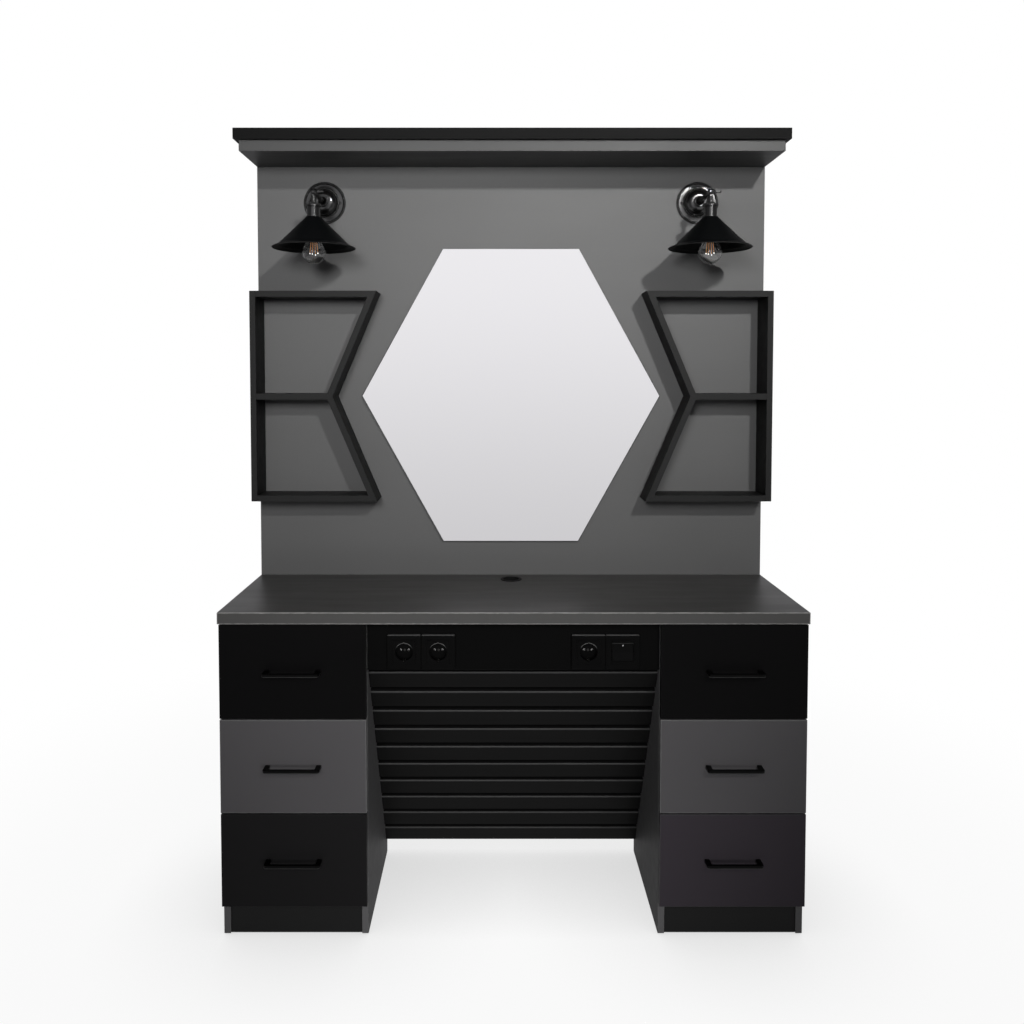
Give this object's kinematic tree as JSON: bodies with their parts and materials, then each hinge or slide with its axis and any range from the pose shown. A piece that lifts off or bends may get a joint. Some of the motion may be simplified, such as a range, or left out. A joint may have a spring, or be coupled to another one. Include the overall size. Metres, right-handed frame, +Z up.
{
  "type": "salon styling station",
  "caption": "Hairdressing station: wall panel with hexagonal mirror, open shelf units and tilting lamps above a worktop on two drawer pedestals with a socket rail.",
  "frame": {"origin": "centre of the bounding box in plan, on the floor", "axes": "+Z up, -Y towards the client (the drawer side), +X to the right seen from the client"},
  "size_m": [1.424, 0.446, 1.984],
  "materials": {
    "anthracite_laminate": "matte anthracite laminate on chipboard, edge-banded",
    "grey_front": "satin dark grey laminate on chipboard",
    "black_front": "satin black laminate on chipboard",
    "black_laminate": "matte black laminate on chipboard",
    "black_slats": "satin black laminate slats",
    "drawer_board": "light grey melamine chipboard",
    "black_handle": "matte black powder coat",
    "runner_steel": "white epoxy coated steel",
    "black_plastic": "fine matte black moulded plastic",
    "glide_plastic": "black nylon",
    "clip_steel": "bare spring steel",
    "mirror_silver": "silvered float glass, small edge bevel",
    "backer_board": "bare fibreboard",
    "lamp_bronze": "oil-rubbed black bronze",
    "shade_black": "matte black enamel",
    "bulb_glass": "clear glass"
  },
  "bodies": {
    "station": {"wall_panel": "anthracite_laminate", "canopy_lower_board": "anthracite_laminate", "worktop": "anthracite_laminate", "left_outer_side": "anthracite_laminate", "left_inner_side": "anthracite_laminate", "right_outer_side": "anthracite_laminate", "right_inner_side": "anthracite_laminate", "pedestal_cross_boards": "anthracite_laminate", "canopy_top_board": "black_laminate", "left_shelf_frame": "black_laminate", "left_shelf_boards": "black_laminate", "right_shelf_frame": "black_laminate", "right_shelf_boards": "black_laminate", "plinth_boards": "black_laminate", "slats": "black_slats", "slat_backing": "black_slats", "slat_cleats": "black_slats", "socket_rail": "black_slats", "cabinet_runners": "runner_steel", "cable_grommet": "black_plastic", "cover_plates": "black_plastic", "socket_inserts": "black_plastic", "switch_frame": "black_plastic", "module_boxes": "black_plastic", "floor_glides": "glide_plastic", "earth_clips": "clip_steel", "mirror_glass": "mirror_silver", "mirror_backer": "backer_board", "left_lamp_plate": "lamp_bronze", "left_lamp_arm": "lamp_bronze", "right_lamp_plate": "lamp_bronze", "right_lamp_arm": "lamp_bronze", "lamp_plate_screws": "lamp_bronze"},
    "left_drawer_1": {"left_drawer_1_front": "black_front", "left_drawer_1_box": "drawer_board", "left_drawer_1_handle": "black_handle"},
    "left_drawer_2": {"left_drawer_2_front": "grey_front", "left_drawer_2_box": "drawer_board", "left_drawer_2_handle": "black_handle"},
    "left_drawer_3": {"left_drawer_3_front": "black_front", "left_drawer_3_box": "drawer_board", "left_drawer_3_handle": "black_handle"},
    "left_lamp_head": {"left_lamp_holder": "lamp_bronze", "left_lamp_shade": "shade_black", "left_lamp_bulb": "bulb_glass"},
    "left_lamp_clamp": {"left_lamp_thumb_screw": "lamp_bronze"},
    "right_drawer_1": {"right_drawer_1_front": "black_front", "right_drawer_1_box": "drawer_board", "right_drawer_1_handle": "black_handle"},
    "right_drawer_2": {"right_drawer_2_front": "grey_front", "right_drawer_2_box": "drawer_board", "right_drawer_2_handle": "black_handle"},
    "right_drawer_3": {"right_drawer_3_front": "black_front", "right_drawer_3_box": "drawer_board", "right_drawer_3_handle": "black_handle"},
    "right_lamp_head": {"right_lamp_holder": "lamp_bronze", "right_lamp_shade": "shade_black", "right_lamp_bulb": "bulb_glass"},
    "right_lamp_clamp": {"right_lamp_thumb_screw": "lamp_bronze"},
    "switch_rocker": {"switch_rocker": "black_plastic"}
  },
  "joints": [
    {"name": "left_drawer_1_slide", "type": "slide", "parent": "station", "child": "left_drawer_1", "axis": [0, -1, 0], "range_m": [0, 0.26]},
    {"name": "left_drawer_2_slide", "type": "slide", "parent": "station", "child": "left_drawer_2", "axis": [0, -1, 0], "range_m": [0, 0.26]},
    {"name": "left_drawer_3_slide", "type": "slide", "parent": "station", "child": "left_drawer_3", "axis": [0, -1, 0], "range_m": [0, 0.26]},
    {"name": "left_lamp_tilt", "type": "hinge", "parent": "station", "child": "left_lamp_head", "pos_m": [-0.514, 0.05, 1.829], "axis": [-1, 0, 0], "range_deg": [-15, 75]},
    {"name": "left_lamp_clamp_turn", "type": "hinge", "parent": "station", "child": "left_lamp_clamp", "pos_m": [-0.514, 0.05, 1.829], "axis": [1, 0, 0], "continuous": true},
    {"name": "right_drawer_1_slide", "type": "slide", "parent": "station", "child": "right_drawer_1", "axis": [0, -1, 0], "range_m": [0, 0.26]},
    {"name": "right_drawer_2_slide", "type": "slide", "parent": "station", "child": "right_drawer_2", "axis": [0, -1, 0], "range_m": [0, 0.26]},
    {"name": "right_drawer_3_slide", "type": "slide", "parent": "station", "child": "right_drawer_3", "axis": [0, -1, 0], "range_m": [0, 0.26]},
    {"name": "right_lamp_tilt", "type": "hinge", "parent": "station", "child": "right_lamp_head", "pos_m": [0.514, 0.05, 1.829], "axis": [-1, 0, 0], "range_deg": [-15, 75]},
    {"name": "right_lamp_clamp_turn", "type": "hinge", "parent": "station", "child": "right_lamp_clamp", "pos_m": [0.514, 0.05, 1.829], "axis": [1, 0, 0], "continuous": true},
    {"name": "switch_rock", "type": "hinge", "parent": "station", "child": "switch_rocker", "pos_m": [0.2607, -0.1795, 0.696], "axis": [1, 0, 0], "range_deg": [0, 8]}
  ]
}
